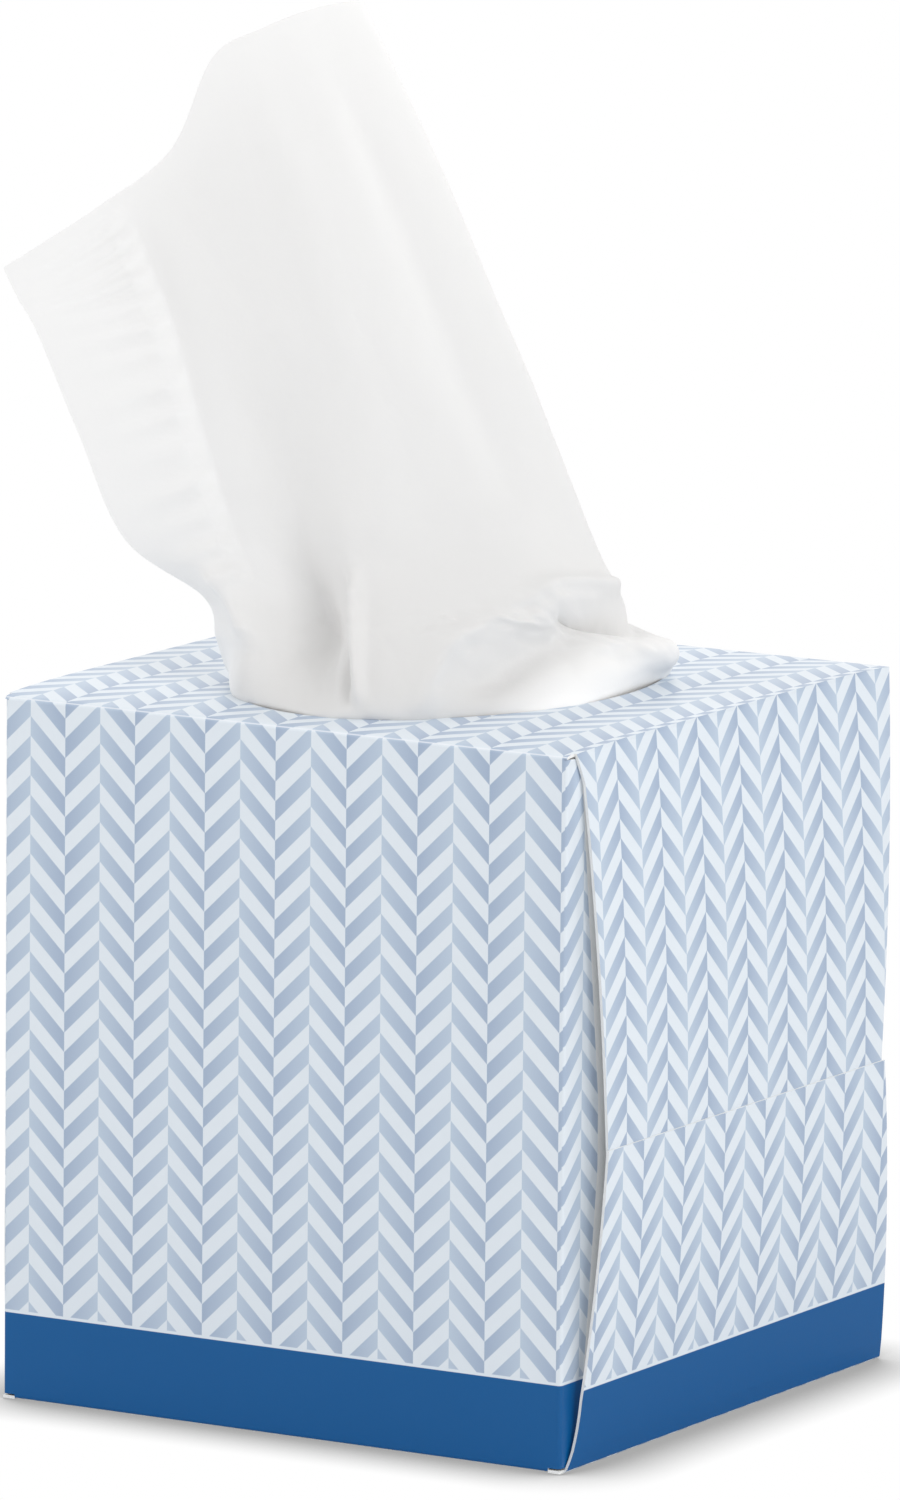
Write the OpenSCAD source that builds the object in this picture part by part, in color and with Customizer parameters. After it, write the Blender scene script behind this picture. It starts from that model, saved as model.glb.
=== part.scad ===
// Cube tissue box: a folded board carton with glued, slightly bowed ends and an oval
// opening, a pack of tissues folded over inside it, and one tissue pulled up through
// the opening. The origin is the centre of the base, the front panel faces -Y and
// the ends with the glued flaps face -X and +X. All sizes are in millimetres.

/* [Carton] */
// Width of the front panel, between its two upright folds
box_w = 110; // [100:1:130]
// Depth from the front panel to the back panel
box_d = 110; // [104:1:130]
// Height of the front panel
box_h = 121.5; // [105:0.5:140]
// Thickness of the board
board = 0.5; // [0.35:0.05:0.7]
// Outer radius of the board's folds
fold_r = 0.7; // [0.6:0.1:1.6]
// How far the middle of the top panel stands above its front and back folds
top_rise = 0.7; // [0:0.1:2]
// Distance from these folds within which the top panel rises
rise_run = 30; // [10:1:40]
// Width of the glue lap inside the back panel
lap_w = 13; // [8:1:20]

/* [Opening] */
// Width of the oval opening, from side to side
opening_w = 68; // [60:1:76]
// Length of the oval opening, from front to back
opening_l = 92; // [84:1:96]

/* [Glued end flaps] */
// Height of the seam where the lower flap ends on the upper one
seam_h = 54; // [40:1:66]
// How far the ends bow outwards at the seam
end_bow = 3.5; // [1:0.1:4]
// How far the upper flap runs on behind the lower one
flap_overlap = 12; // [6:1:20]
// Gap between the glued flaps and the side flaps, at the folds
flap_gap = 0.1; // [0.05:0.05:0.4]
// Inset of the upper flap's front corner at the top fold
upper_start = 2.3; // [1:0.1:4]
// Inset of the upper flap's front edge below its shoulder
upper_in = 4.4; // [3:0.1:7]
// Height of the upper flap's shoulder
upper_shoulder = 5; // [3:0.5:10]
// Inset of the lower flap's front corner at the bottom fold
lower_start = 0.3; // [0.2:0.1:2]
// Inset of the lower flap's front edge above its shoulder
lower_in = 3.8; // [3:0.1:7]
// Height of the lower flap's shoulder
lower_shoulder = 12; // [8:0.5:16]
// Inset of both flaps' front edges at the seam
seam_in = 8.8; // [6:0.1:12]
// Inset of both flaps' back edges at the folds
back_in = 0.7; // [0.5:0.1:2]
// Inset of both flaps' back edges at the seam
seam_back_in = 7.2; // [5:0.1:12]
// Length of the slit that frees the lower flap from the front panel
relief_l = 2.3; // [1:0.1:4]
// Width of that slit
relief_h = 0.3; // [0.2:0.1:1]

/* [Side flaps] */
// Length of a side flap, from its upright fold
side_flap_l = 46; // [30:1:50]
// Gap above and below a side flap
side_flap_gap = 0.15; // [0.1:0.05:1]
// Cut of a side flap's free corners
side_flap_cut = 9; // [4:1:16]

/* [Pack of tissues] */
// Gap between the pack and the walls
pack_gap = 1.2; // [0.6:0.1:2.5]
// Thickness of the folded pack
pack_t = 47; // [40:1:50]
// Distance from the top folds down to the top of the pack
pack_drop = 13; // [10:1:20]
// Radius of the pack's shoulders
pack_r = 34; // [24:1:44]
// Radius of the pack's lower edges
pack_edge_r = 3; // [1:0.5:6]

/* [Film window] */
// Thickness of the clear film glued under the opening
film_t = 0.2; // [0.1:0.05:0.3]
// How far the film reaches past the opening, to its glue
film_lap = 8; // [5:1:12]
// Length of the slit in the film
slit_l = 64; // [54:1:66]
// Width of the slit, held open by the tissue
slit_w = 8; // [7:0.5:12]

/* [Pulled tissue] */
// Height of the tissue's top corner above the opening
rise = 116; // [90:1:130]
// Angle between the front panel and the spread of the tissue
turn = 30; // [15:1:40]
// Thickness of the pulled tissue, air between its plies included
tissue_t = 0.5; // [0.4:0.05:0.6]
// Gap between the tissue and the edge of the opening
rim_gap = 1; // [0.8:0.1:2]
// Clearance between the tissue's foot and the pack
foot_gap = 0.4; // [0.3:0.1:1]
// Depth of the folds in the tissue, as a factor
fold_depth = 1; // [0.5:0.1:1.3]

/* [Hidden] */
card_white = [0.9, 0.93, 0.95];
tissue_white = [0.97, 0.97, 0.96];
film_clear = [0.85, 0.9, 0.92, 0.4];
half_w = box_w / 2;
half_d = box_d / 2;
end_x = half_w + board + flap_gap;
far = end_x + end_bow + 5;
glue = 0.03;
arch_steps = 28;
bow_steps = 16;
oval_sides = 96;

// Places across the sheet (columns) and up the sheet (rows) where its net is given
sheet_columns = 64;
sheet_rows = 43;

// Height of the arched top panel above its folds, at depth y
function arch(y) =
    let (d = min(max(half_d - abs(y), 0), rise_run))
    top_rise * (1 - pow(1 - d / rise_run, 3));

// Bow of the lower flap's outer face, at height z
function bow_lower(z) = end_bow * (1 - pow((seam_h - max(z, 0)) / seam_h, 2));

// Bow of the upper flap's outer face: it runs on behind the lower flap
function bow_upper(z) =
    z < seam_h
        ? bow_lower(z) - board + glue
        : (end_bow - board + glue) * (1 - pow((min(z, box_h) - seam_h) / (box_h - seam_h), 2));

// Depth of a point of the top panel: closer together towards the front and back folds
function arch_place(i) = sin(180 * i / arch_steps - 90);

// Points of an arc, centre c, from angle a to angle b
function arc(c, r, a, b, n = 8) =
    [for (i = [0 : n]) let (q = a + (b - a) * i / n) c + r * [cos(q), sin(q)]];

// Outline of the sleeve, as depth and height, moved inwards by t
function sleeve(t) =
    let (r = max(fold_r - t, 0.2), y = half_d - t, low = t, high = box_h - t)
    concat(
        arc([-y + r, low + r], r, 270, 180),
        arc([-y + r, high - r], r, 180, 90),
        [for (i = [1 : arch_steps - 1])
            let (p = (y - r) * arch_place(i)) [p, high + arch(p)]],
        arc([y - r, high - r], r, 90, 0),
        arc([y - r, low + r], r, 0, -90)
    );

// The sleeve's section, filled, moved inwards by t
module sleeve_bar(t, x0, x1)
    translate([x0, 0, 0])
        rotate([90, 0, 90])
            linear_extrude(x1 - x0)
                polygon(sleeve(t));

module sleeve_ring(x0, x1)
    difference() {
        sleeve_bar(0, x0, x1);
        sleeve_bar(board, x0 - 1, x1 + 1);
    }

// A section drawn as width and height, drawn out along the depth
module across(points)
    translate([0, far, 0])
        rotate([90, 0, 0])
            linear_extrude(2 * far)
                polygon(points);

// An outline drawn as depth and height, drawn out over the right end
module over_end(points)
    translate([half_w - fold_r - glue, 0, 0])
        rotate([90, 0, 90])
            linear_extrude(far)
                polygon(points);

module upper_flap() {
    low = seam_h - flap_overlap;
    face = [for (i = [0 : bow_steps]) let (z = low + (box_h - low) * i / bow_steps) [end_x + bow_upper(z), z]];
    start = half_w - fold_r - glue;
    top = box_h + top_rise + 1;
    intersection() {
        // the outline: front edge with its shoulder, then the back edge
        over_end([
            [-half_d + upper_start, top],
            [-half_d + upper_start, box_h],
            [-half_d + upper_in, box_h - upper_shoulder],
            [-half_d + seam_in, seam_h],
            [-half_d + seam_in + 2, low],
            [half_d - seam_back_in - 2, low],
            [half_d - seam_back_in, seam_h],
            [half_d - back_in, top]
        ]);
        // the board: top panel and flap, folded as one
        difference() {
            intersection() {
                sleeve_bar(0, start - 1, far);
                across(concat([[start, low]], face, [[end_x, top], [start, top]]));
            }
            intersection() {
                sleeve_bar(board, start - 2, far + 1);
                across(concat([[start - 2, low - 1], [end_x + bow_upper(low) - board, low - 1]],
                    [for (p = face) p - [board, 0]], [[end_x - board, top + 1], [start - 2, top + 1]]));
            }
        }
    }
}

module lower_flap() {
    start = half_w - fold_r - glue;
    r = fold_r;
    face = [for (i = [1 : bow_steps]) let (z = seam_h * i / bow_steps) [end_x + bow_lower(z), z]];
    inner = [for (p = face) p - [board, 0]];
    curve = [for (i = [0 : 8]) let (a = 90 * i / 8)
        [-half_d + lower_start + (lower_in - lower_start) * sin(a), lower_shoulder * (1 - cos(a))]];
    intersection() {
        over_end(concat(
            [[-half_d + lower_start, -1]],
            curve,
            [[-half_d + seam_in - 0.6, seam_h], [half_d - seam_back_in + 0.4, seam_h],
                [half_d - back_in, 0], [half_d - back_in, -1]]
        ));
        across(concat(
            [[start, 0]],
            arc([end_x - r, r], r, -90, 0),
            face,
            [for (i = [0 : bow_steps - 1]) inner[bow_steps - 1 - i]],
            arc([end_x - r, r], r - board, 0, -90),
            [[start, board]]
        ));
    }
}

// A side flap, folded back from the front panel at the right end
module side_flap() {
    r = fold_r;
    low = board + side_flap_gap;
    high = box_h - board - side_flap_gap;
    c = [half_w - r, -half_d + r];
    end_y = -half_d + side_flap_l;
    intersection() {
        linear_extrude(box_h)
            polygon(concat(
                [[c[0] - glue, -half_d]],
                arc(c, r, -90, 0),
                [[half_w, end_y], [half_w - board, end_y]],
                arc(c, r - board, 0, -90),
                [[c[0] - glue, -half_d + board]]
            ));
        over_end([
            [-half_d - 1, low],
            [-half_d - 1, high],
            [-half_d + r, high],
            [end_y - side_flap_cut, high - 2],
            [end_y, high - side_flap_cut],
            [end_y, low + side_flap_cut],
            [end_y - side_flap_cut, low + 2],
            [-half_d + r, low]
        ]);
    }
}

// The ends of the top and bottom panels, which run out over the edges of the side flaps
module panel_ends()
    difference() {
        sleeve_bar(0, half_w - fold_r - glue, half_w);
        sleeve_bar(board, half_w - 2 * fold_r, half_w + 1);
        translate([0, -box_d, board + side_flap_gap / 3])
            cube([box_w, 2 * box_d, box_h - 2 * board - 2 * side_flap_gap / 3]);
    }

module right_end() {
    panel_ends();
    upper_flap();
    lower_flap();
    side_flap();
    mirror([0, 1, 0]) side_flap();
}

module oval_prism(w, l, z0, z1)
    translate([0, 0, z0])
        linear_extrude(z1 - z0)
            polygon([for (i = [0 : oval_sides - 1]) let (a = 360 * i / oval_sides) [w / 2 * cos(a), l / 2 * sin(a)]]);

// Board folded as one piece: sleeve, side flaps, glued end flaps and inside lap
module carton()
    color(card_white) {
        difference() {
            union() {
                sleeve_ring(-half_w + fold_r, half_w - fold_r);
                right_end();
                mirror([1, 0, 0]) right_end();
                // the bottom panel ends square at its front corners, below the slits
                for (side = [-1, 1])
                    translate([side * (half_w - relief_l / 2), -half_d + fold_r / 2, board / 2])
                        cube([relief_l, fold_r, board], center = true);
                // the lap that closes the sleeve, glued inside the back panel
                translate([-half_w + 2, half_d - 2 * board + glue, board - glue])
                    cube([box_w - 4, board, lap_w]);
            }
            oval_prism(opening_w, opening_l, box_h - 5, box_h + 5);
            // slits that free the lower flaps from the front panel
            for (side = [-1, 1])
                translate([side * (half_w - relief_l / 2 + 1), -half_d + board / 2, board + relief_h / 2])
                    cube([relief_l + 2, board + 2, relief_h], center = true);
        }
    }

// The clear film, glued under the top panel and following its arch
module film_window()
    color(film_clear)
        difference() {
            sleeve_bar(board + glue, -opening_w / 2 - film_lap, opening_w / 2 + film_lap);
            sleeve_bar(board + glue + film_t, -box_w, box_w);
            translate([-box_w / 2, -box_d / 2, 0])
                cube([box_w, box_d, box_h - board - 2 * fold_r]);
            for (side = [-1, 1])
                translate([0, side * (opening_l / 2 + film_lap + box_d / 2), box_h])
                    cube([box_w, box_d, 20], center = true);
            // the slit, held open like a lens
            oval_prism(slit_l, slit_w, box_h - 5, box_h + 5);
        }

// The pack, folded over in the middle so that both halves stand on the base
module tissue_stack() {
    w = box_w - 2 * board - 2 * pack_gap;
    l = box_d - 4 * board - 2 * pack_gap;
    base = board + foot_gap / 2;
    top = box_h - pack_drop;
    slot = w - 2 * pack_t;
    color(tissue_white)
        translate([0, l / 2 - board / 2, 0])
            rotate([90, 0, 0])
                linear_extrude(l)
                    difference() {
                        union() {
                            translate([-w / 2, base + pack_edge_r])
                                square([w, top - base - pack_edge_r - pack_r]);
                            translate([-w / 2 + pack_edge_r, base])
                                square([w - 2 * pack_edge_r, pack_edge_r + 1]);
                            translate([-w / 2 + pack_r, top - pack_r - 1])
                                square([w - 2 * pack_r, pack_r + 1]);
                            for (side = [-1, 1]) {
                                translate([side * (w / 2 - pack_r), top - pack_r])
                                    circle(r = pack_r, $fn = 96);
                                translate([side * (w / 2 - pack_edge_r), base + pack_edge_r])
                                    circle(r = pack_edge_r, $fn = 32);
                            }
                        }
                        // the narrow space between the two halves
                        translate([-slot / 2, base - 1])
                            square([slot, top - pack_t - slot / 2 - base + 1]);
                        translate([0, top - pack_t - slot / 2])
                            circle(r = slot / 2, $fn = 64);
                    }
}

// The sheet's net: rows from the foot up to the top edge. Seven places go across the front
// from its left edge to the fold on the right, and four go back behind it to the free edge.
// A place on a row is its way across, its way forward and its height above the opening,
// drawn for a sheet that rises by drawn_rise.
drawn_rise = 116;
across_slit = [-0.85, -0.6, -0.35, -0.1, 0.2, 0.5, 0.88, 0.6, 0.35, 0.1, -0.15];
side_of_slit = [-1, -1, -1, -1, -1, -1, 0, 1, 1, 1, 1];
rim_turns = [206, 236, 270, 286, 305, 343, 388];
rim_shares = [1.015, 1.015, 0.86, 1, 1, 0.97, 1];
back_lip = [[30, -3, 1.5], [20, -2, 1.5], [9, -5, 1.5], [-4, -8, 1.5]];
base = [[-40, 8, 7], [-33, 24, 9], [-22, 19, 9], [-15.5, 33, 11], [1, 33, 11], [25, 15, 7.5], [37.8, 3, 3.8],
    [33, -6, 5.5], [16, -8, 7], [1, -9, 7], [-14, -7, 7]];
neck = [[-45, 6, 14], [-35, 18, 16], [-23, 13, 15], [-16, 26, 17], [-1, 28, 18], [17, 19, 16], [30, 0, 12.5],
    [24, -7, 13], [12, -9, 13], [-4, -8, 13], [-22, -1, 13]];
waist = [[-55.5, 6, 24], [-40, 12, 26], [-26, 12, 26], [-17, 21, 27], [-2, 20, 27], [12, 12, 26], [24, 0, 23.5],
    [19, -6, 24], [6, -8, 24], [-11, -4, 24], [-33, 6, 25]];
low = [[-63.5, 5, 42], [-46, 9, 43], [-31, 9, 43], [-19, 15, 44], [-7, 15, 44], [5, 8, 43], [17, 0, 41.5],
    [11, -5, 42], [-3, -6, 42], [-20, 1, 43], [-41, 4, 43]];
middle = [[-70.5, 5, 59], [-51, 7, 60], [-37, 8, 61], [-24, 12, 62], [-13, 13, 63], [-2, 7, 63], [8.5, 0, 62],
    [2, -5, 62], [-12, -5, 61], [-29, 1, 60], [-48, 2, 60]];
upper = [[-74, 4, 65], [-56, 5, 72], [-43, 6, 78], [-32, 10, 85], [-22, 11, 89], [-13, 7, 90], [-3.5, 0, 90],
    [-9, -4, 89], [-21, -3, 86], [-36, 1, 80], [-53, 1, 71]];
top_edge = [[-76.5, 3, 70], [-60, 4, 81], [-48, 6, 91], [-41, 9, 107], [-32.5, 8, 112], [-24, 5, 115], [-16, 0, 116],
    [-21, -4, 114], [-32, -2, 107], [-43, 1, 94], [-57, 0, 79]];

// Folds in the sheet: the place and row where each starts, the place and row where it
// ends, its half width in places and its height, which is negative for a valley
folds = [
    [6, 6.4, 5.1, 6.2, 0.18, 2.6],
    [5.1, 6.2, 4.5, 5.6, 0.18, 3],
    [4.5, 5.6, 4, 5, 0.18, 3],
    [4, 5, 3.85, 4.3, 0.16, 2.4],
    [5.8, 5.7, 5.1, 5.6, 0.2, -2.6],
    [5.1, 5.6, 4.3, 4.6, 0.2, -2.6],
    [2.7, 6.7, 2.75, 4.4, 0.14, -2.4],
    [3.05, 6.6, 3, 4.4, 0.14, 2],
    [3.5, 10.8, 3.3, 7.2, 0.4, 1.6],
    [1.3, 10.5, 1.2, 7, 0.2, -0.9],
    [0.7, 6.7, 0.8, 5.4, 0.2, 1.4],
    [4.9, 10.6, 5, 7.6, 0.3, -1.2]
];

// One point of the net, from its way across, its way forward and its height
function placed(p) = [
    p[0] * cos(turn) + p[1] * sin(turn),
    p[0] * sin(turn) - p[1] * cos(turn),
    box_h + top_rise + p[2] * rise / drawn_rise
];

// A point by the slit: its share of the slit's half length, its side and its height
function slit_point(x, side, spread, h) = [
    x * slit_l / 2 * spread,
    side * slit_w / 4 * sqrt(1 - x * x) * spread,
    box_h + top_rise + h
];

// A point inside the edge of the opening
function rim_point(a, share, h) =
    let (w = opening_w / 2 - rim_gap, l = opening_l / 2 - rim_gap)
    [share * w * cos(a), share * l * sin(a), box_h + top_rise + h];

function slit_row(spread, h) =
    [for (i = [0 : len(across_slit) - 1]) slit_point(across_slit[i], side_of_slit[i], spread, h)];

foot_h = foot_gap + tissue_t / 2 - pack_drop - top_rise;
column_count = len(across_slit);
lip_row = 4;
throat = slit_row(1.04, 1.2);
lip = concat(
    [for (i = [0 : 6]) rim_point(rim_turns[i], rim_shares[i], 0.6)],
    [for (p = back_lip) placed(p)]
);
net = concat(
    [slit_row(0.8, foot_h), slit_row(1, -2.4), throat, 0.7 * throat + 0.3 * lip, lip],
    [for (row = [base, neck, waist, low, middle, upper, top_edge]) [for (p = row) placed(p)]]
);

// A smooth curve through the points of a list, at u from 0 to 1
function through(list, u) =
    let (
        n = len(list) - 1,
        k = min(floor(u * n), n - 1),
        f = u * n - k,
        p1 = list[k],
        p2 = list[k + 1],
        p0 = k > 0 ? list[k - 1] : 2 * p1 - p2,
        p3 = k < n - 1 ? list[k + 2] : 2 * p2 - p1
    )
    0.5 * (2 * p1 + (p2 - p0) * f + (2 * p0 - 5 * p1 + 4 * p2 - p3) * f * f
        + (3 * p1 - p0 - 3 * p2 + p3) * f * f * f);

function smooth_sheet(s, t) = through([for (row = net) through(row, s)], t);

// Height of one fold at a place c on row r of the sheet
function fold_at(f, c, r) =
    let (
        d = [f[2] - f[0], f[3] - f[1]],
        q = max(0, min(1, ((c - f[0]) * d[0] + (r - f[1]) * d[1]) / (d * d))),
        off = norm([c, r] - [f[0], f[1]] - q * d) / f[4]
    )
    f[5] * exp(-off * off) * min(1, 4 * q + 0.15);

function sum(list, i = 0) = i < len(list) ? list[i] + sum(list, i + 1) : 0;

function unit(v) = v / norm(v);

function sheet_normal(s, t) =
    let (
        e = 0.004,
        a = smooth_sheet(min(s + e, 1), t) - smooth_sheet(max(s - e, 0), t),
        b = smooth_sheet(s, min(t + e, 1)) - smooth_sheet(s, max(t - e, 0))
    )
    unit(cross(a, b));

// The folds fade out where the sheet lies on the film
function clear_of_film(r) = max(0, min(1, (r - lip_row) / 0.6));

function sheet_point(s, t) =
    let (c = s * (column_count - 1), r = t * (len(net) - 1))
    smooth_sheet(s, t)
        + fold_depth * clear_of_film(r) * sum([for (f = folds) fold_at(f, c, r)]) * sheet_normal(s, t);

// The pulled tissue: one thin sheet, closed all round
module pulled_tissue() {
    m = sheet_columns;
    n = sheet_rows;
    grid = [for (j = [0 : n]) [for (i = [0 : m]) sheet_point(i / m, j / n)]];
    normals = [for (j = [0 : n]) [for (i = [0 : m])
        unit(cross(
            grid[j][min(i + 1, m)] - grid[j][max(i - 1, 0)],
            grid[min(j + 1, n)][i] - grid[max(j - 1, 0)][i]
        ))]];
    front = [for (j = [0 : n]) for (i = [0 : m]) grid[j][i] + normals[j][i] * tissue_t / 2];
    back = [for (j = [0 : n]) for (i = [0 : m]) grid[j][i] - normals[j][i] * tissue_t / 2];
    w = m + 1;
    half = len(front);
    front_faces = [for (j = [0 : n - 1]) for (i = [0 : m - 1]) let (a = j * w + i)
        each [[a, a + w, a + w + 1], [a, a + w + 1, a + 1]]];
    back_faces = [for (f = front_faces) [half + f[0], half + f[2], half + f[1]]];
    border = concat(
        [for (i = [0 : m - 1]) [i, i + 1]],
        [for (j = [0 : n - 1]) [j * w + m, (j + 1) * w + m]],
        [for (i = [m : -1 : 1]) [n * w + i, n * w + i - 1]],
        [for (j = [n : -1 : 1]) [j * w, (j - 1) * w]]
    );
    edge_faces = [for (e = border) each [[e[0], e[1], half + e[1]], [e[0], half + e[1], half + e[0]]]];
    color(tissue_white)
        polyhedron(concat(front, back), concat(front_faces, back_faces, edge_faces), convexity = 10);
}

carton();
film_window();
tissue_stack();
pulled_tissue();
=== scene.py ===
import math

import bpy
import numpy as np
from mathutils import Matrix, Vector


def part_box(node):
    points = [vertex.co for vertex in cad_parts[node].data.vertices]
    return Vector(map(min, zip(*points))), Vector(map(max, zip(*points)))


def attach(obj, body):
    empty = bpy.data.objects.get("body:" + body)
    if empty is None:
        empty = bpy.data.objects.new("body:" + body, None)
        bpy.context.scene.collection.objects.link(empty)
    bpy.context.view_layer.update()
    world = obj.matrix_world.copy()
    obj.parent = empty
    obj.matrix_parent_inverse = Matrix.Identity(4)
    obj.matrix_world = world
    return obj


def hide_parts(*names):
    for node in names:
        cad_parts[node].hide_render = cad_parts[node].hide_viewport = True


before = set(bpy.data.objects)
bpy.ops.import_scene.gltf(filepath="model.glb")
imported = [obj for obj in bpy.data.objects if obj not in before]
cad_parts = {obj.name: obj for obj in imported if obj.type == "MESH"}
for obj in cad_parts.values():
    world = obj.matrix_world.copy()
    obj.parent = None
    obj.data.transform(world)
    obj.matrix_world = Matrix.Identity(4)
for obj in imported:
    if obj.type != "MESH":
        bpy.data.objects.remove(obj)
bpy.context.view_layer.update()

carton_low, carton_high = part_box("carton")
scene = bpy.context.scene

# Camera
# The box is seen from the front and a little to its right end, from just above its top.
# The lens is very long, so the upright edges stay upright in the picture. Turn, tilt and
# roll are in degrees, the distance is in metres, and lens and sensor are in millimetres.
TURN = 30.58
TILT = 9.76
ROLL = 0.5
DISTANCE = 2.3994
LENS = 336
SENSOR = 36
FURTHEST = 20
AIM = Vector((-0.00422, 0.00717, 0.10806))
turn, tilt, roll = math.radians(TURN), math.radians(TILT), math.radians(ROLL)
level = Vector((math.cos(turn), math.sin(turn), 0))
forward = Vector((
    -math.sin(turn) * math.cos(tilt),
    math.cos(turn) * math.cos(tilt),
    -math.sin(tilt),
))
upward = level.cross(forward)
camera_data = bpy.data.cameras.new("camera")
camera_data.lens = LENS
camera_data.sensor_fit = "VERTICAL"
camera_data.sensor_height = SENSOR
camera_data.clip_end = FURTHEST
camera = bpy.data.objects.new("camera", camera_data)
scene.collection.objects.link(camera)
right = math.cos(roll) * level + math.sin(roll) * upward
upright = math.cos(roll) * upward - math.sin(roll) * level
axes = Matrix((right, upright, -forward)).transposed().to_4x4()
camera.matrix_world = Matrix.Translation(AIM - DISTANCE * forward) @ axes
scene.camera = camera


# Shader nodes
# What the materials and the light of the room share.
def new_material(name):
    """A material with an empty node tree, and its output node."""
    material = bpy.data.materials.new(name)
    material.use_nodes = True
    tree = material.node_tree
    tree.nodes.clear()
    output = tree.nodes.new("ShaderNodeOutputMaterial")
    return material, tree, output


def mixed(tree, share, first, second):
    """A shader from first, where share is 0, to second, where it is 1."""
    mix = tree.nodes.new("ShaderNodeMixShader")
    for socket, value in zip(mix.inputs, (share, first, second)):
        tree.links.new(value, socket)
    return mix.outputs[0]


def coordinates(tree, kind="Object"):
    """x, y and z over the object in metres, or of a direction in the room if "Generated"."""
    place = tree.nodes.new("ShaderNodeTexCoord")
    split = tree.nodes.new("ShaderNodeSeparateXYZ")
    tree.links.new(place.outputs[kind], split.inputs[0])
    return split.outputs


def noise(tree, scale, detail):
    """A noise over the object, of so many waves to the metre and so much finer detail."""
    place = tree.nodes.new("ShaderNodeTexCoord")
    texture = tree.nodes.new("ShaderNodeTexNoise")
    texture.inputs["Scale"].default_value = scale
    texture.inputs["Detail"].default_value = detail
    tree.links.new(place.outputs["Object"], texture.inputs["Vector"])
    return texture.outputs["Fac"]


def bumped(tree, height, depth, strength, under=None):
    """The normals of a surface that height raises, on top of what under does to it."""
    bump = tree.nodes.new("ShaderNodeBump")
    bump.inputs["Strength"].default_value = strength
    bump.inputs["Distance"].default_value = depth
    tree.links.new(height, bump.inputs["Height"])
    if under:
        tree.links.new(under, bump.inputs["Normal"])
    return bump.outputs[0]


class Sums:
    """Writes arithmetic as shader nodes in one node tree."""

    def __init__(self, tree):
        self.tree = tree

    def __call__(self, operation, *values, clamp=False):
        node = self.tree.nodes.new("ShaderNodeMath")
        node.operation = operation
        node.use_clamp = clamp
        for socket, value in zip(node.inputs, values):
            if isinstance(value, (int, float)):
                socket.default_value = value
            else:
                self.tree.links.new(value, socket)
        return node.outputs[0]

    def blend(self, share, first, second):
        """A colour from first, where share is 0, to second, where it is 1."""
        node = self.tree.nodes.new("ShaderNodeMix")
        node.data_type = "RGBA"
        sockets = node.inputs[0], node.inputs[6], node.inputs[7]
        for socket, value in zip(sockets, (share, first, second)):
            if isinstance(value, tuple):
                socket.default_value = (*value, 1)
            else:
                self.tree.links.new(value, socket)
        return node.outputs[2]

    def step(self, value, edge, soft):
        """0 below edge and 1 above it, with a soft change."""
        low = self("SUBTRACT", value, edge)
        return self("ADD", self("DIVIDE", low, soft), 0.5, clamp=True)


# Floor and light
# A white table top between two soft boxes, in a white room that is brightest overhead
# and behind the box. The camera sees the table as plain white, with a soft shadow at the
# foot of the box.

# the table: half its width and its drop below the box in metres, its white by itself and
# in reflections, and the reach, depth, darkest tone and sampling of the shadow
FLOOR_HALF = 6
FLOOR_DROP = 0.0002
FLOOR_WHITE = (0.9, 0.9, 0.9)
FLOOR_IN_GLOSS = (0.26, 0.26, 0.26)
SHADOW_REACH = 0.016
SHADOW_DEPTH = 1.22
DARKEST = 0.4
SHADOW_SAMPLES = 16
floor_mesh = bpy.data.meshes.new("table_top")
corner_signs = [(-1, -1), (1, -1), (1, 1), (-1, 1)]
floor_corners = [(FLOOR_HALF * x, FLOOR_HALF * y, 0) for x, y in corner_signs]
floor_mesh.from_pydata(floor_corners, [], [(0, 1, 2, 3)])
floor = bpy.data.objects.new("table_top", floor_mesh)
floor.location.z = -FLOOR_DROP
scene.collection.objects.link(floor)
material, tree, output = new_material("white_table")
sums = Sums(tree)
seen = tree.nodes.new("ShaderNodeLightPath")
lit = tree.nodes.new("ShaderNodeBsdfDiffuse")
tone = sums.blend(seen.outputs["Is Glossy Ray"], FLOOR_WHITE, FLOOR_IN_GLOSS)
tree.links.new(tone, lit.inputs["Color"])
nearness = tree.nodes.new("ShaderNodeAmbientOcclusion")
nearness.samples = SHADOW_SAMPLES
nearness.inputs["Distance"].default_value = SHADOW_REACH
shade = sums("MULTIPLY_ADD", nearness.outputs["AO"], SHADOW_DEPTH, 1 - SHADOW_DEPTH)
table_white = tree.nodes.new("ShaderNodeEmission")
table_white.inputs["Color"].default_value = (1, 1, 1, 1)
tree.links.new(sums("MAXIMUM", shade, DARKEST), table_white.inputs["Strength"])
both = mixed(tree, seen.outputs["Is Camera Ray"], lit.outputs[0], table_white.outputs[0])
tree.links.new(both, output.inputs["Surface"])
floor_mesh.materials.append(material)

# the room's light at the height of the box, straight overhead, and more of it from behind
WALL_LIGHT = 0.76
CEILING_LIGHT = 1.0
BACK_LIGHT = 0.4
world = bpy.data.worlds.new("white_room")
world.use_nodes = True
scene.world = world
tree = world.node_tree
tree.nodes.clear()
world_output = tree.nodes.new("ShaderNodeOutputWorld")
sums = Sums(tree)
_, backward, overhead = coordinates(tree, "Generated")
from_walls = sums("MULTIPLY_ADD", backward, BACK_LIGHT, WALL_LIGHT)
steepness = sums("ABSOLUTE", overhead)
strength = sums("MULTIPLY_ADD", steepness, CEILING_LIGHT - WALL_LIGHT, from_walls)
room = tree.nodes.new("ShaderNodeBackground")
room.inputs["Color"].default_value = (1, 1, 1, 1)
tree.links.new(strength, room.inputs["Strength"])
backdrop = tree.nodes.new("ShaderNodeBackground")
backdrop.inputs["Color"].default_value = (1, 1, 1, 1)
backdrop.inputs["Strength"].default_value = 1
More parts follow.
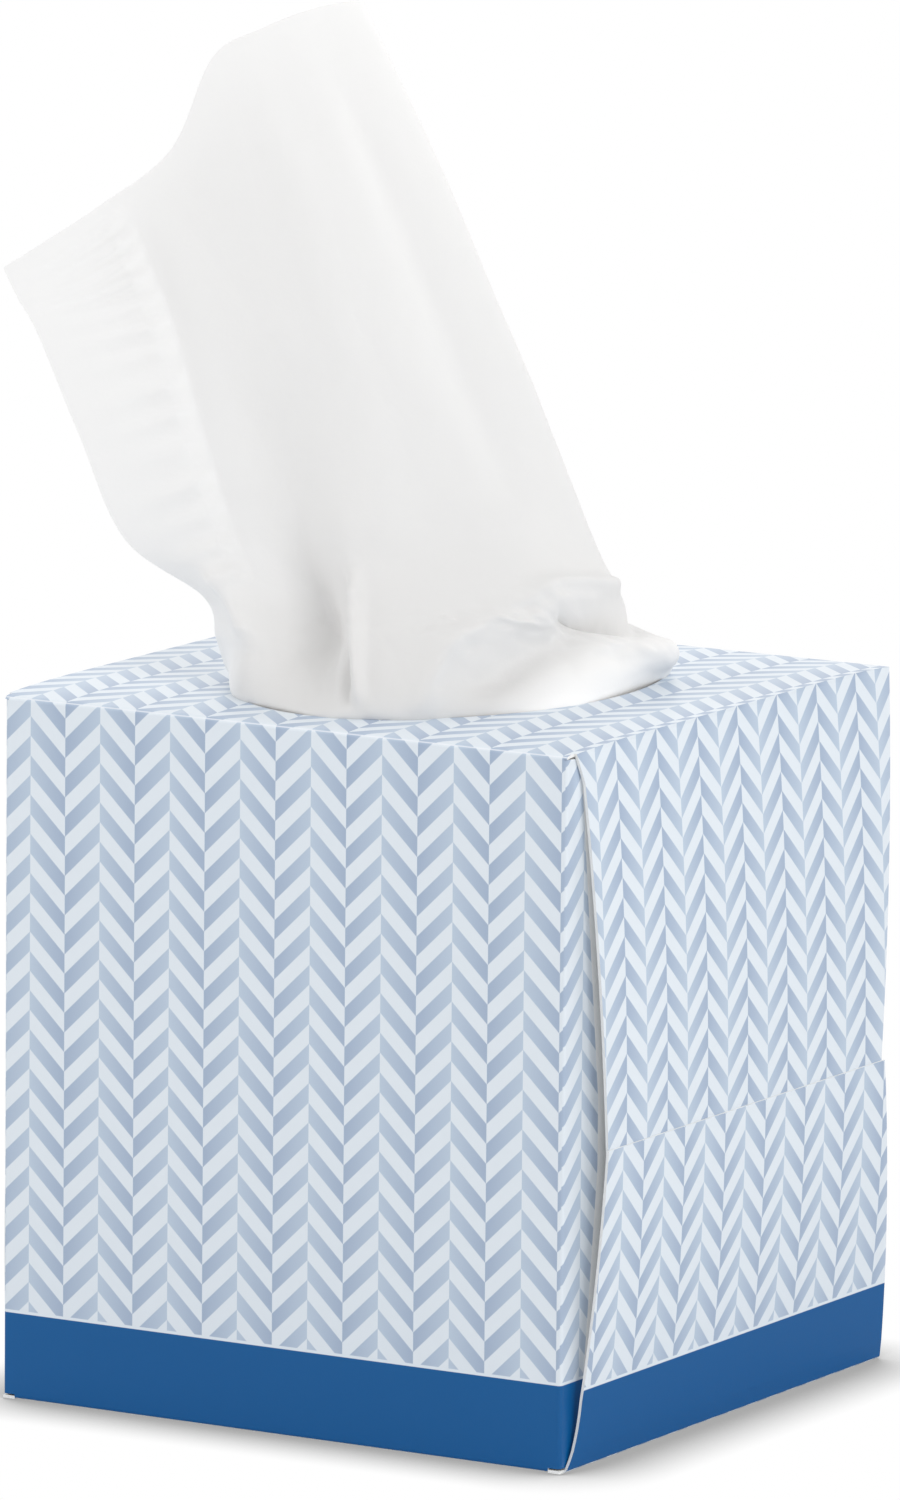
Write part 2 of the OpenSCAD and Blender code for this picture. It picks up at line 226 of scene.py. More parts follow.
seen = tree.nodes.new("ShaderNodeLightPath")
straight = sums("MAXIMUM", seen.outputs["Is Camera Ray"], seen.outputs["Is Transmission Ray"])
choice = mixed(tree, straight, room.outputs[0], backdrop.outputs[0])
tree.links.new(choice, world_output.inputs["Surface"])

# name, place, size and watts: each soft box faces the middle of the object
MIDDLE = Vector((0, 0, 0.1))
SOFT_BOXES = [
    ("soft_box_right", (1.5, -0.7, 1.1), 1.0, 11.5),
    ("soft_box_left", (-1.6, -1.25, 0.9), 1.2, 12),
]
for name, place, size, watts in SOFT_BOXES:
    lamp = bpy.data.lights.new(name, "AREA")
    lamp.shape = "SQUARE"
    lamp.size = size
    lamp.energy = watts
    soft_box = bpy.data.objects.new(name, lamp)
    soft_box.location = place
    soft_box.rotation_euler = (MIDDLE - Vector(place)).to_track_quat("-Z", "Y").to_euler()
    scene.collection.objects.link(soft_box)
scene.view_settings.view_transform = "Standard"


# Carton
# Coated white board about 0.5 mm thick, printed on the outside, cut, creased, folded and
# glued. The print is a herringbone of pale blue and white with a dark blue band at the
# foot. The cut edges show the white core of the board.
MM = 0.001
FRONT = carton_low.y
HALF_WIDTH = 55 * MM
HALF_DEPTH = -FRONT
HEIGHT = 121.5 * MM
BOARD = 0.5 * MM
SEAM = 54 * MM
SLIT_END = 2.3 * MM

# inks and bare board
BLUE = (0.348, 0.430, 0.565)
BLUE_LIGHT = (0.472, 0.56, 0.672)
WHITE = (0.70, 0.755, 0.81)
BAND_BLUE = (0.0, 0.095, 0.295)
CORE_WHITE = (0.82, 0.83, 0.83)
# CREASE_HIGHLIGHT is a painted highlight along the creases at the top, not an ink
CREASE_HIGHLIGHT = (0.80, 0.83, 0.87)
INSIDE_WHITE = (0.72, 0.72, 0.70)

# height of the dark band on the panels and on the lower flaps, with the white line over
# it, and the soft edge of the ink
BAND_HIGH = 15 * MM
FLAP_BAND_HIGH = 13.8 * MM
KEYLINE = 0.5 * MM
INK_EDGE = 0.1 * MM

# each print: the place of a ridge between two columns, the pitch of the columns, and the
# start, period and slope of the stripes down the panel. The stripes' soft edge is a share
# of their period.
FRONT_PRINT = {
    "ridge": -49.9 * MM, "pitch": 6.931 * MM,
    "start": 3.0 * MM, "period": 6.743 * MM, "slope": 0.954,
}
UPPER_PRINT = {
    "ridge": -53.75 * MM, "pitch": 6.842 * MM,
    "start": 2.49 * MM, "period": 6.608 * MM, "slope": 0.934,
}
LOWER_PRINT = {
    "ridge": -55.75 * MM, "pitch": 6.909 * MM,
    "start": 0.04 * MM, "period": 6.794 * MM, "slope": 0.954,
}
STRIPE_EDGE = 0.03

# width of the painted highlight, a lighter line along a crease, and its soft edge
CREASE = 0.28 * MM
CREASE_EDGE = 0.2 * MM

# the print on a side flap ends this far round the fold, furthest in at this height. Just before
# and past that end the board has painted light: it glows a little in its own colour, in place of
# light let through by the thin flap over it
PRINT_END = 11.5 * MM
PRINT_END_HIGH = 56 * MM
PRINT_END_FLAT = 6 * MM
PRINT_END_LEAN = 0.115
PAINTED_GAP_GLOW = 0.2
GLOW_BEFORE_END = 3.5 * MM
GLOW_PAST_END = 5.4 * MM

# the sheen of the board, its fine tooth and slow waves, and the fibres of bare board
BOARD_SHEEN = 0.42
PRINT_ROUGHNESS = 0.36
CORE_ROUGHNESS = 0.8
INSIDE_ROUGHNESS = 0.7
TOOTH_SCALE, TOOTH_DETAIL, TOOTH_DEPTH, TOOTH_STRENGTH = 2600, 3, 0.04 * MM, 0.12
WAVE_SCALE, WAVE_DETAIL, WAVE_DEPTH, WAVE_STRENGTH = 28, 1, 1.2 * MM, 0.25
FIBRE_SCALE, FIBRE_DETAIL, FIBRE_SHADE = 900, 4, 0.9


def board_surface(tree, output, colour, roughness, painted_gap_glow=None):
    """Coated board: a satin sheet with a faint tooth and slow waves.

    painted_gap_glow is painted light: the board glows a little in its own colour, in place of
    the light that comes through the thin flap lying over it."""
    board = tree.nodes.new("ShaderNodeBsdfPrincipled")
    board.inputs["Roughness"].default_value = roughness
    board.inputs["Specular IOR Level"].default_value = BOARD_SHEEN
    # painted light: an emission in the board's own colour, where a glow is given
    if painted_gap_glow:
        tree.links.new(colour, board.inputs["Emission Color"])
        tree.links.new(painted_gap_glow, board.inputs["Emission Strength"])
    waves = noise(tree, WAVE_SCALE, WAVE_DETAIL)
    tooth = noise(tree, TOOTH_SCALE, TOOTH_DETAIL)
    wavy = bumped(tree, waves, WAVE_DEPTH, WAVE_STRENGTH)
    normals = bumped(tree, tooth, TOOTH_DEPTH, TOOTH_STRENGTH, wavy)
    tree.links.new(normals, board.inputs["Normal"])
    tree.links.new(colour, board.inputs["Base Color"])
    tree.links.new(board.outputs[0], output.inputs["Surface"])


def printed_board(name, across, down, height, pattern, band, dark_at_ridge=False, bare=None):
    """Board with the herringbone. across, down and height pick numbers from x, y and z.

    bare gives the distance past the print's end, where the board is left white."""
    material, tree, output = new_material(name)
    sums = Sums(tree)
    x, y, z = coordinates(tree)
    u = across(sums, x, y, z)
    d = down(sums, x, y, z)
    # columns come in pairs: share runs from 0 to 1 over a pair, near from a ridge to a valley
    pair = 2 * pattern["pitch"]
    share = sums("FRACT", sums("DIVIDE", sums("SUBTRACT", u, pattern["ridge"]), pair))
    side = sums("GREATER_THAN", share, 0.5)
    near = sums("PINGPONG", share, 0.5)
    drop = sums("MULTIPLY", near, pair * pattern["slope"])
    from_start = sums("SUBTRACT", sums("SUBTRACT", d, drop), pattern["start"])
    line = sums("DIVIDE", from_start, pattern["period"])
    phase = sums("FRACT", sums("ADD", line, sums("MULTIPLY", side, 0.5)))
    # distance from the middle of the blue stripe, as a share of the period: blue and white
    # take half of it each
    away = sums("ABSOLUTE", sums("SUBTRACT", phase, 0.25))
    away = sums("MINIMUM", away, sums("SUBTRACT", 1, away))
    white = sums.step(away, 0.25, STRIPE_EDGE)
    toward_valley = sums("MULTIPLY", near, 2)
    depth = sums("SUBTRACT", 1, toward_valley) if dark_at_ridge else toward_valley
    blue = sums.blend(depth, BLUE_LIGHT, BLUE)
    ink = sums.blend(white, blue, WHITE)
    top_of_band = sums.step(height(sums, x, y, z), band + KEYLINE, INK_EDGE)
    over_band = sums.step(height(sums, x, y, z), band, INK_EDGE)
    ink = sums.blend(top_of_band, WHITE, ink)
    ink = sums.blend(over_band, BAND_BLUE, ink)
    # painted highlight: the ink is lighter along the creases between the top and the front and
    # back
    behind_front = sums("SUBTRACT", HALF_DEPTH, sums("ABSOLUTE", y))
    into_fold = sums("MAXIMUM", sums("SUBTRACT", HEIGHT, z), behind_front)
    ink = sums.blend(sums.step(into_fold, CREASE, CREASE_EDGE), CREASE_HIGHLIGHT, ink)
    painted_gap_glow = None
    if bare:
        past = bare(sums, x, y, z)
        ink = sums.blend(sums.step(past, 0, CREASE_EDGE), ink, CORE_WHITE)
        # painted light: the board glows most at the print's end, and less further before and
        # past it
        before_end = sums("MULTIPLY_ADD", past, 1 / GLOW_BEFORE_END, 1)
        after_end = sums("MULTIPLY_ADD", past, -1 / GLOW_PAST_END, 1)
        glow_near_end = sums("MINIMUM", before_end, after_end, clamp=True)
        painted_gap_glow = sums("MULTIPLY", glow_near_end, PAINTED_GAP_GLOW)
    board_surface(tree, output, ink, PRINT_ROUGHNESS, painted_gap_glow)
    return material


def plain_board(name, colour, roughness):
    """Board without print, a little darker between its fibres."""
    material, tree, output = new_material(name)
    fibres = noise(tree, FIBRE_SCALE, FIBRE_DETAIL)
    darker = tuple(FIBRE_SHADE * part for part in colour)
    shaded = Sums(tree).blend(fibres, darker, colour)
    board_surface(tree, output, shaded, roughness)
    return material


carton_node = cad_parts["carton"]
carton_mesh = carton_node.data.copy()
carton = bpy.data.objects.new("printed_carton", carton_mesh)
scene.collection.objects.link(carton)
carton_mesh.materials.clear()
# the distances over the carton that the prints read: never is past every dark band
along_x = lambda sums, x, y, z: x
along_y = lambda sums, x, y, z: y
below_top = lambda sums, x, y, z: sums("SUBTRACT", HEIGHT, z)
before_front = lambda sums, x, y, z: sums("SUBTRACT", -HALF_DEPTH, y)
above_base = lambda sums, x, y, z: z
never = lambda sums, x, y, z: sums("ADD", z, 1)
from_fold = lambda sums, y: sums("SUBTRACT", HALF_DEPTH, sums("ABSOLUTE", y))
round_the_side = lambda sums, x, y, z: sums("ADD", from_fold(sums, y), HALF_WIDTH)


def past_print(sums, x, y, z):
    """Distance past the print's end, which leans like the edge of the flap over it."""
    away = sums("ABSOLUTE", sums("SUBTRACT", z, PRINT_END_HIGH))
    sloping = sums("MAXIMUM", sums("SUBTRACT", away, PRINT_END_FLAT), 0)
    lean = sums("MULTIPLY", sloping, PRINT_END_LEAN)
    return sums("SUBTRACT", sums("ADD", from_fold(sums, y), lean), PRINT_END)


CARTON_FINISHES = {
    "front": printed_board(
        "print_front", along_x, below_top, above_base, FRONT_PRINT, BAND_HIGH),
    "top": printed_board(
        "print_top", along_x, before_front, never, FRONT_PRINT, 0),
    "side": printed_board(
        "print_side_flap", round_the_side, below_top, above_base, FRONT_PRINT, BAND_HIGH,
        bare=past_print),
    "upper": printed_board(
        "print_upper_flap", along_y, below_top, never, UPPER_PRINT, 0, dark_at_ridge=True),
    "lower": printed_board(
        "print_lower_flap", along_y, below_top, above_base, LOWER_PRINT, FLAP_BAND_HIGH),
    "core": plain_board("board_core", CORE_WHITE, CORE_ROUGHNESS),
    "plain": plain_board("board_unprinted", INSIDE_WHITE, INSIDE_ROUGHNESS),
}
finish_names = list(CARTON_FINISHES)
for finish in CARTON_FINISHES.values():
    carton_mesh.materials.append(finish)


# how squarely a face looks one way to count as facing or leaning that way, and the slack,
# the width of a fold and the skin of the board within which a face is looked for
FACING, LEANING = 0.5, 0.3
SLACK, FOLD_WIDE, SKIN = 0.1 * MM, 1.0 * MM, 0.4 * BOARD


def finish_of(middle, normal):
    """Which finish a face of the carton has, from where it lies and faces."""
    x, y, z = abs(middle.x), middle.y, middle.z
    outward = normal.x * (1 if middle.x > 0 else -1)
    in_line_with_sides = x < HALF_WIDTH + SLACK
    at_top = z > HEIGHT - FOLD_WIDE
    # the edge of the bottom panel in the slits at the foot of the front
    if z < BOARD and x > HALF_WIDTH - SLIT_END and y < FRONT + SKIN and normal.y < -FACING:
        return "core"
    # the ends: side flaps, and the glued flaps over them
    if x > HALF_WIDTH + SLACK or (x > HALF_WIDTH - FOLD_WIDE and abs(outward) > FACING):
        if in_line_with_sides and not BOARD < z < HEIGHT - BOARD - SLACK:
            return "core"
        if in_line_with_sides and outward > FACING:
            return "side"
        if outward > LEANING:
            return "lower" if z < SEAM + SLACK and x > HALF_WIDTH + BOARD else "upper"
        if normal.z < -FACING and z < SKIN:
            return "plain"
        if normal.z > FACING and at_top:
            return "top"
        return "core"
    # the panels: front and back have one print
    if normal.y < -FACING and y < FRONT + SKIN:
        return "front"
    if normal.y > FACING and y > HALF_DEPTH - SKIN:
        return "front"
    if normal.z > LEANING and at_top:
        return "top"
    return "plain" if abs(normal.z) > FACING or abs(normal.y) > FACING else "core"


for face in carton_mesh.polygons:
    face.material_index = finish_names.index(finish_of(face.center, face.normal))
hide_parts("carton")
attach(carton, "root")


# Film window
# A clear film glued under the top panel, over the whole opening, with a slit that the
# pulled tissue holds open. It is so thin that only its gloss shows.
FILM_ROUGHNESS = 0.06
FILM_IOR = 1.35
material, tree, output = new_material("clear_film")
clear = tree.nodes.new("ShaderNodeBsdfTransparent")
gloss = tree.nodes.new("ShaderNodeBsdfGlossy")
gloss.inputs["Roughness"].default_value = FILM_ROUGHNESS
edge_on = tree.nodes.new("ShaderNodeFresnel")
edge_on.inputs["IOR"].default_value = FILM_IOR
film_shader = mixed(tree, edge_on.outputs[0], clear.outputs[0], gloss.outputs[0])
tree.links.new(film_shader, output.inputs["Surface"])
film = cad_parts["film_window"]
film.data.materials.clear()
film.data.materials.append(material)


# Pack of tissues
# Soft two-ply tissues, white with a fine crepe. The pack is folded over in the middle,
# stands in the carton like an upturned U and shows the edges of its sheets as fine lines.
TISSUE_WHITE = (0.885, 0.882, 0.878)
TISSUE_ROUGHNESS = 0.95
TISSUE_SHEEN = 0.1
CREPE_SCALE, CREPE_DETAIL, CREPE_DEPTH, CREPE_STRENGTH = 1500, 4, 0.1 * MM, 0.2
SHEET_STEP, SHEET_LINE = 0.45 * MM, 0.5


def tissue_surface(tree, sheet_step=None):
    """Tissue paper, and its normals. Edges of sheets show in it at each sheet_step."""
    height = noise(tree, CREPE_SCALE, CREPE_DETAIL)
    if sheet_step:
        sums = Sums(tree)
        x, _, _ = coordinates(tree)
        lines = sums("SINE", sums("MULTIPLY", x, 2 * math.pi / sheet_step))
        height = sums("ADD", height, sums("MULTIPLY", lines, SHEET_LINE))
    normals = bumped(tree, height, CREPE_DEPTH, CREPE_STRENGTH)
    paper = tree.nodes.new("ShaderNodeBsdfPrincipled")
    paper.inputs["Base Color"].default_value = (*TISSUE_WHITE, 1)
    paper.inputs["Roughness"].default_value = TISSUE_ROUGHNESS
    paper.inputs["Specular IOR Level"].default_value = TISSUE_SHEEN
    tree.links.new(normals, paper.inputs["Normal"])
    return paper, normals


material, tree, output = new_material("packed_tissue")
paper, _ = tissue_surface(tree, SHEET_STEP)
tree.links.new(paper.outputs[0], output.inputs["Surface"])
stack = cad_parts["tissue_stack"]
stack.data.materials.clear()
stack.data.materials.append(material)


# Pulled tissue
# The next two-ply tissue of the pack, drawn up through the slit and held by it. It comes
# out folded in half, so its right-hand side is a fold and a second layer hangs behind.
TOP = carton_high.z
NET_TURN = math.radians(30)

# Steps of the mesh across the sheet, from its loose edge round the fold to the edge of
# the second layer, and up the sheet
COLUMNS = 360
ROWS = 260

# The net that the sheet is drawn through has rows of 11 points, in millimetres. The lowest
# rows follow the slit in the film: its length and width, how far along it each point lies
# as a share of half its length, and on which side
SLIT_L, SLIT_W = 64, 8
ACROSS_SLIT = [-0.85, -0.6, -0.35, -0.1, 0.2, 0.5, 0.88, 0.6, 0.35, 0.1, -0.15]
SIDE_OF_SLIT = [-1, -1, -1, -1, -1, -1, 0, 1, 1, 1, 1]
# height over the top of the carton and spread along the slit of the sheet's foot in the
# pack, of the row under the film and of the row over it, and how far on its way from there
# to the rim of the opening the next row is
FOOT_UP, FOOT_SPREAD = -13.9, 0.8
UNDER_FILM_UP = -2.4
THROAT_UP, THROAT_SPREAD = 1.2, 1.04
LIP_SHARE = 0.3
# then the sheet lies against the rim of the oval opening: the oval's width and length, the
# gap and the height at the rim, the turn of each point round the oval in degrees, its
# share of the radius, and the points behind, clear of the rim
OPENING_W, OPENING_L, RIM_GAP, LIP_UP = 68, 92, 0.1, -0.5
RIM_TURNS = [206, 236, 270, 286, 305, 343, 388]
RIM_SHARES = [1, 1, 0.995, 1, 1, 1, 1]
BACK_LIP = [[30, -3, 1.5], [20, -2, 1.5], [9, -5, 1.5], [-4, -8, 1.5]]
# the rows above: across the sheet, out towards the front, and up
NET_ROWS = [
    [[-39.7, 8, 7], [-33, 24, 9], [-19.9, 19.2, 9], [-15.5, 33, 11], [1, 33, 11], [25, 15, 7.5],
        [36.6, 3, 5.6], [33, -6, 6.5], [16, -8, 7], [1, -9, 7], [-14, -7, 7]],
    [[-42, 7, 14.5], [-35, 18, 16], [-21.4, 13, 15], [-16, 26, 17], [-1, 28, 18], [17, 19, 16],
        [30, 0, 12.5], [24, -7, 13], [12, -9, 13], [-4, -8, 13], [-22, -1, 13]],
    [[-55.5, 6, 24], [-40, 12, 26], [-26, 12, 26], [-17, 21, 27], [-2, 20, 27], [12, 12, 26],
        [24, 0, 23.5], [19, -6, 24], [6, -8, 24], [-11, -4, 24], [-33, 6, 25]],
    [[-63.5, 5, 42], [-46, 9, 43], [-31, 9, 43], [-19, 15, 44], [-7, 15, 44], [5, 8, 43],
        [17, 0, 41.5], [11, -5, 42], [-3, -6, 42], [-20, 1, 43], [-41, 4, 43]],
    [[-70.5, 5, 59], [-51, 7, 60], [-37, 8, 61], [-24, 12, 62], [-13, 13, 63], [-2, 7, 63],
        [8.5, 0, 62], [2, -5, 62], [-12, -5, 61], [-29, 1, 60], [-48, 2, 60]],
    [[-74, 4, 65], [-56, 5, 72], [-43, 6, 78], [-32, 10, 85], [-22, 11, 89], [-13, 7, 90],
        [-3.5, 0, 90], [-9, -4, 89], [-21, -3, 86], [-36, 1, 80], [-53, 1, 71]],
    [[-76.5, 3, 70], [-60, 4, 81], [-48, 6, 91], [-41, 9, 107], [-32.5, 8, 112], [-24, 5, 115],
        [-16, 0, 116], [-21, -4, 114], [-32, -2, 107], [-43, 1, 94], [-57, 0, 79]],
]


def placed(point):
    """A point of the net, turned with the sheet and set on the top of the carton."""
    across, out, up = point
    return [
        (across * math.cos(NET_TURN) + out * math.sin(NET_TURN)) * MM,
        (across * math.sin(NET_TURN) - out * math.cos(NET_TURN)) * MM,
        TOP + up * MM,
    ]


def slit_row(spread, up):
    """A row of the net that follows both sides of the slit."""
    return [
        [
            x * SLIT_L / 2 * spread * MM,
            side * SLIT_W / 4 * math.sqrt(1 - x * x) * spread * MM,
            TOP + up * MM,
        ]
        for x, side in zip(ACROSS_SLIT, SIDE_OF_SLIT)
    ]


foot = slit_row(FOOT_SPREAD, FOOT_UP)
under_film = slit_row(1, UNDER_FILM_UP)
throat = np.array(slit_row(THROAT_SPREAD, THROAT_UP))
lip = np.array([
    [
        share * (OPENING_W / 2 - RIM_GAP) * math.cos(math.radians(angle)) * MM,
        share * (OPENING_L / 2 - RIM_GAP) * math.sin(math.radians(angle)) * MM,
        TOP + LIP_UP * MM,
    ]
    for angle, share in zip(RIM_TURNS, RIM_SHARES)
] + [placed(point) for point in BACK_LIP])
to_lip = (1 - LIP_SHARE) * throat + LIP_SHARE * lip
above_lip = [[placed(point) for point in row] for row in NET_ROWS]
net = np.array([foot, under_film, throat, to_lip, lip] + above_lip)


def through(points, shares):
    """A smooth curve through points, read at shares of its length from 0 to 1."""
    last = len(points) - 1
    k = np.minimum((shares * last).astype(int), last - 1)
    f = (shares * last - k).reshape(-1, *[1] * (points.ndim - 1))
    before = np.concatenate([2 * points[:1] - points[1:2], points[:-1]])
    after = np.concatenate([points[1:], 2 * points[-1:] - points[-2:-1]])
    p0, p1, p2, p3 = before[k], points[k], points[k + 1], after[k + 1]
    return 0.5 * (2 * p1 + (p2 - p0) * f + (2 * p0 - 5 * p1 + 4 * p2 - p3) * f ** 2
        + (3 * p1 - p0 - 3 * p2 + p3) * f ** 3)


across_shares = np.linspace(0, 1, COLUMNS + 1)
up_shares = np.linspace(0, 1, ROWS + 1)
sheet = through(net, up_shares)
sheet = through(sheet.transpose(1, 0, 2), across_shares).transpose(1, 0, 2)
column = across_shares[None, :] * (net.shape[1] - 1)
row = up_shares[:, None] * (net.shape[0] - 1)

# Folds: column and row of the net at both ends, width in columns, and height in
# millimetres, below 0 for a valley. A fold grows to its full height along its way.
FOLD_START, FOLD_GROWTH = 0.15, 4
FOLDS = [
    [6, 6.4, 5.1, 6.2, 0.18, 2.6],
    [5.1, 6.2, 4.5, 5.6, 0.18, 3],
    [4.5, 5.6, 4, 5, 0.18, 3],
    [4, 5, 3.85, 4.3, 0.16, 2.4],
    [5.8, 5.7, 5.1, 5.6, 0.2, -2.6],
    [5.1, 5.6, 4.3, 4.6, 0.2, -2.6],
    [2.7, 6.7, 2.75, 4.4, 0.16, -1.5],
    [3.05, 6.6, 3, 4.4, 0.12, 2.3],
    [3.5, 10.8, 3.3, 7.2, 0.4, 1.6],
    [1.3, 10.5, 1.2, 7, 0.2, -0.9],
    [0.7, 6.7, 0.8, 5.4, 0.2, 1.4],
    [4.9, 10.6, 5, 7.6, 0.3, -1.2],
    [5.2, 5.75, 6.6, 5.6, 0.3, -2.2],
    [5.6, 6.25, 5.1, 6.15, 0.09, -1.3],
    [5.1, 6.15, 4.7, 5.85, 0.09, -1.5],
    [4.7, 5.85, 4.38, 5.45, 0.09, -1.5],
    [4.38, 5.45, 4.1, 4.95, 0.09, -1.4],
    [4.1, 4.95, 3.95, 4.5, 0.09, -1.2],
    [4.95, 5.75, 4.6, 5.2, 0.08, 0.9],
    [4.0, 5.6, 3.8, 5.15, 0.08, 0.7],
]
# The row at the rim of the opening, and the rows above it in which the folds come in
LIP_ROW, FOLDS_COME_IN = 4, 0.6
# Rounded places: column and row of the middle, half widths in both and the height
BULGES = [
    [5.75, 4.95, 0.55, 0.35, 2.6],
    [5.3, 5.6, 0.25, 0.18, -2.2],
    [5.9, 5.6, 0.3, 0.16, -2.0],
    [4.7, 4.9, 0.4, 0.4, 1.2],
    [4.9, 7.6, 0.7, 1.1, 2.2],
    [2.1, 5.0, 0.5, 0.35, -0.4],
]
# Creases where the sheet was squeezed: column and row of the middle of each patch, its
# half widths, and the spacing and height of its creases in millimetres. Six sets cross
# each other in a patch, each turned and shifted from the last in radians and swaying a
# little. Their mean is taken off, and a gain brings the rest to about 1 high. A column of
# the net is about 13 mm wide and a row 11 mm high.
COLUMN_WIDE, ROW_HIGH = 13, 11
CREASE_SETS, FIRST_ANGLE, NEXT_ANGLE, NEXT_SHIFT, SWAY = 6, 0.4, 1.9, 1.3, 1.7
CREASE_MEAN, CREASE_GAIN = 0.64, 2
CRUMPLES = [
    [5.0, 5.2, 1.0, 0.9, 6, 0.9],
    [5.1, 5.5, 0.8, 0.5, 2.6, 0.7],
    [1.4, 4.9, 1.2, 0.7, 7, 0.5],
    [3.3, 4.9, 0.8, 0.8, 6, 0.4],
    [3.5, 8, 5, 3, 17, 0.35],
]
# The loose edge on the left is crimped: short wrinkles run in from the edge, growing and
# sloping a little, and end where the second layer begins. The columns are those of the
# wrinkles' start, middle and end. Each has a row, a half width in rows and a height.
CRIMP_START, CRIMP_MIDDLE, CRIMP_END = 0.1, 0.6, 1.12
CRIMP_FADE, CRIMP_GROWTH, CRIMP_SLOPE, CRIMP_RISE = 0.12, 1.5, 0.3, 3.4
CRIMPS = [
    (6.3, 0.16, 0.5), (6.72, 0.13, 0.6), (7.1, 0.12, 0.5), (7.4, 0.1, 0.7), (7.75, 0.13, 0.55),
    (8.05, 0.09, 0.6), (8.32, 0.11, 0.75), (8.66, 0.1, 0.5), (8.92, 0.09, 0.7), (9.2, 0.12, 0.6),
    (9.52, 0.09, 0.7), (9.8, 0.11, 0.6), (10.1, 0.12, 0.55), (10.45, 0.12, 0.4),
]


def fold(c0, r0, c1, r1, width, rise):
    """Height of one fold over the whole sheet, in metres."""
    run = np.array([c1 - c0, r1 - r0])
    along = np.clip(((column - c0) * run[0] + (row - r0) * run[1]) / (run @ run), 0, 1)
    off = np.hypot(column - c0 - along * run[0], row - r0 - along * run[1]) / width
    return rise * MM * np.exp(-off ** 2) * np.minimum(1, FOLD_GROWTH * along + FOLD_START)


def patch(place, middle, wide, high):
    """1 at the middle of a patch of the sheet, fading out over its half widths."""
    return np.exp(-((column - place) / wide) ** 2 - ((row - middle) / high) ** 2)


def unit_normals(grid):
    """The direction in which the sheet faces at each point."""
    across = np.gradient(grid, axis=1)
    along = np.gradient(grid, axis=0)
    normals = np.cross(across, along)
    return normals / np.linalg.norm(normals, axis=2, keepdims=True)


clear_of_film = np.clip((row - LIP_ROW) / FOLDS_COME_IN, 0, 1)
lift = sum(fold(*values) for values in FOLDS) * clear_of_film
for place, middle, wide, high, rise in BULGES:
    lift = lift + rise * MM * patch(place, middle, wide, high) * clear_of_film
for place, middle, wide, high, spacing, rise in CRUMPLES:
    creases = 0
    for number in range(CREASE_SETS):
        angle = FIRST_ANGLE + NEXT_ANGLE * number
        way = COLUMN_WIDE * column * math.cos(angle) + ROW_HIGH * row * math.sin(angle)
        sway = NEXT_SHIFT * number + np.sin(SWAY * column + row)
        creases = creases + np.abs(np.sin(math.pi * way / spacing + sway))
    creases = CREASE_GAIN * (creases / CREASE_SETS - CREASE_MEAN)
    lift = lift + rise * MM * creases * patch(place, middle, wide, high) * clear_of_film
crimp_share = np.clip((column - CRIMP_START) / (CRIMP_END - CRIMP_START), 0, 1) ** CRIMP_GROWTH
crimp_share = crimp_share * np.clip((CRIMP_END + CRIMP_FADE - column) / (2 * CRIMP_FADE), 0, 1)
for crimp_row, half_width, height in CRIMPS:
    off = (row - crimp_row - CRIMP_SLOPE * (column - CRIMP_MIDDLE)) / half_width
    lift = lift + CRIMP_RISE * height * MM * np.exp(-off ** 2) * crimp_share
sheet = sheet + unit_normals(sheet) * lift[:, :, None]

vertices = sheet.reshape(-1, 3)
wide = COLUMNS + 1
start = (np.arange(ROWS)[:, None] * wide + np.arange(COLUMNS)[None, :]).reshape(-1)
faces = np.stack([start, start + 1, start + wide + 1, start + wide], 1)
tissue_mesh = bpy.data.meshes.new("pulled_tissue_sheet")
tissue_mesh.from_pydata(vertices.tolist(), [], faces.tolist())
tissue_mesh.shade_smooth()
tissue = bpy.data.objects.new("pulled_tissue_sheet", tissue_mesh)
scene.collection.objects.link(tissue)

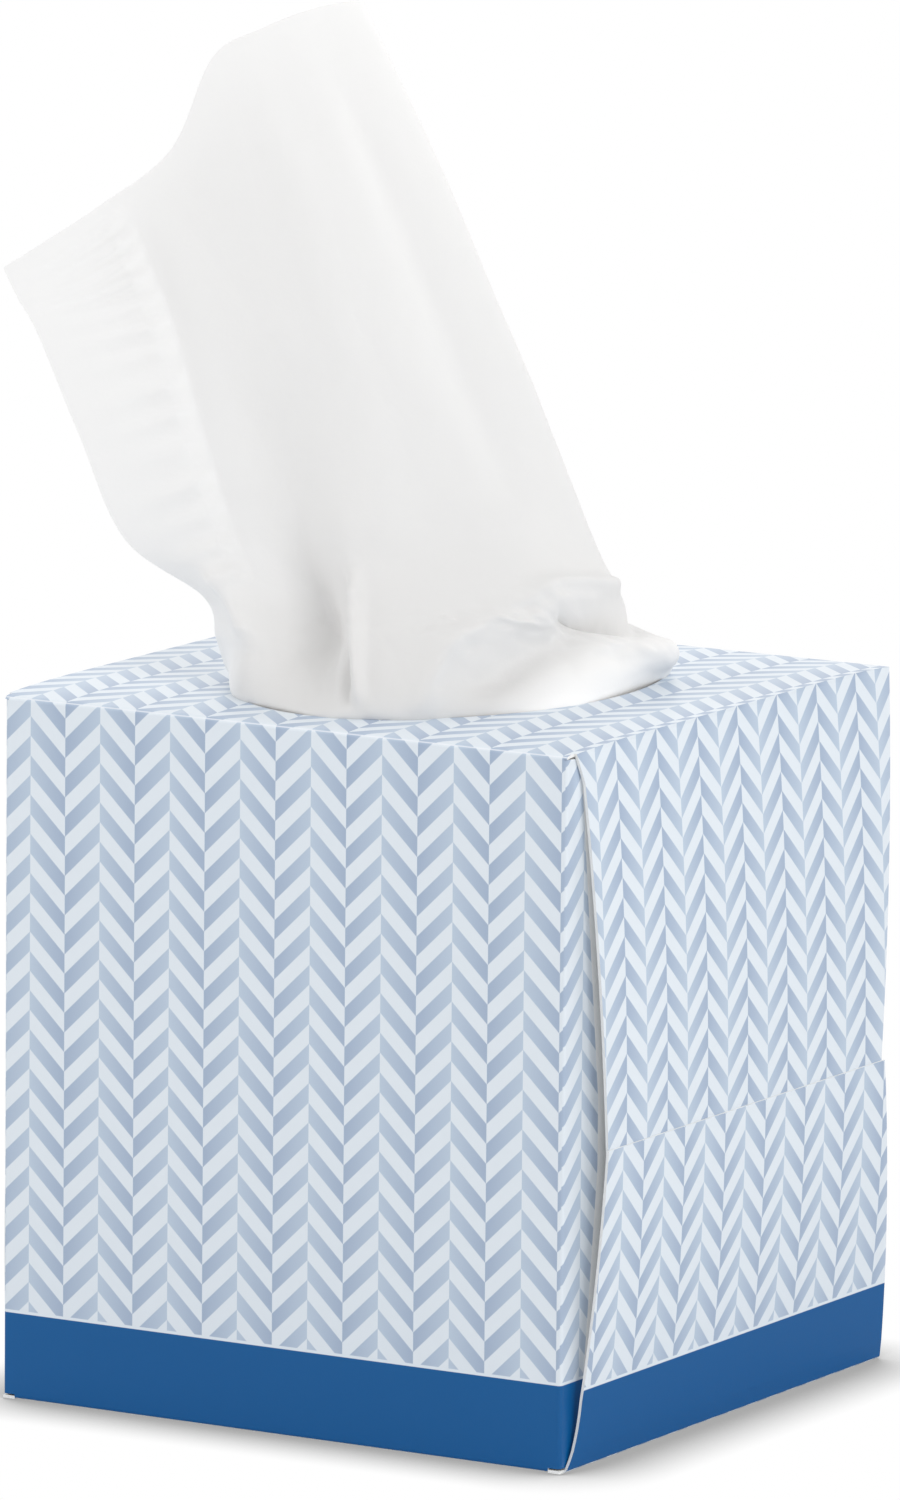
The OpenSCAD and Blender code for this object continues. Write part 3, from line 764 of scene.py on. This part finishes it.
# The sheet is see-through, and more so further up from the opening, where it is gathered.
# Its low ends are squeezed into several layers there, which let nothing through and are painted
# lighter, a painted brightening of ends that face away from the light: the middle between them,
# how far from it they start, and over what way.
GATHERED_END = 45 * MM
# painted against reflected light: low down the sheet is a little warmer, to cancel the blue
# light that the print throws on it
PAINTED_WARM_LOW_WHITE = (0.88, 0.873, 0.865)
PAINTED_BRIGHT_ENDS_WHITE = (0.938, 0.93, 0.92)
SEE_THROUGH, GATHERED_SEE_THROUGH, LAYERED_SEE_THROUGH = 0.35, 0.31, 0.0
LAYERS_MIDDLE, LAYERS_START, LAYERS_WAY = 4 * MM, 21 * MM, 6 * MM
LAYERS_END = GATHERED_END / 3
material, tree, output = new_material("pulled_tissue")
paper, normals = tissue_surface(tree)
x, _, z = coordinates(tree)
sums = Sums(tree)
over_top = sums("SUBTRACT", z, TOP)
above = sums("DIVIDE", over_top, GATHERED_END, clamp=True)
from_middle = sums("ABSOLUTE", sums("SUBTRACT", x, LAYERS_MIDDLE))
outer = sums("DIVIDE", sums("SUBTRACT", from_middle, LAYERS_START), LAYERS_WAY, clamp=True)
low = sums("SUBTRACT", 1, sums("DIVIDE", over_top, LAYERS_END, clamp=True), clamp=True)
layered_and_painted_bright = sums("MULTIPLY", outer, low)
white = sums.blend(layered_and_painted_bright, sums.blend(above, PAINTED_WARM_LOW_WHITE, TISSUE_WHITE), PAINTED_BRIGHT_ENDS_WHITE)
tree.links.new(white, paper.inputs["Base Color"])
thin = sums("MULTIPLY_ADD", above, SEE_THROUGH - GATHERED_SEE_THROUGH, GATHERED_SEE_THROUGH)
thick = sums("MULTIPLY", layered_and_painted_bright, LAYERED_SEE_THROUGH - GATHERED_SEE_THROUGH)
from_behind = tree.nodes.new("ShaderNodeBsdfTranslucent")
from_behind.inputs["Color"].default_value = (*TISSUE_WHITE, 1)
tree.links.new(normals, from_behind.inputs["Normal"])
seen_through = sums("ADD", thin, thick)
tissue_shader = mixed(tree, seen_through, paper.outputs[0], from_behind.outputs[0])
tree.links.new(tissue_shader, output.inputs["Surface"])
tissue_mesh.materials.append(material)
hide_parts("pulled_tissue")
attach(tissue, "root")
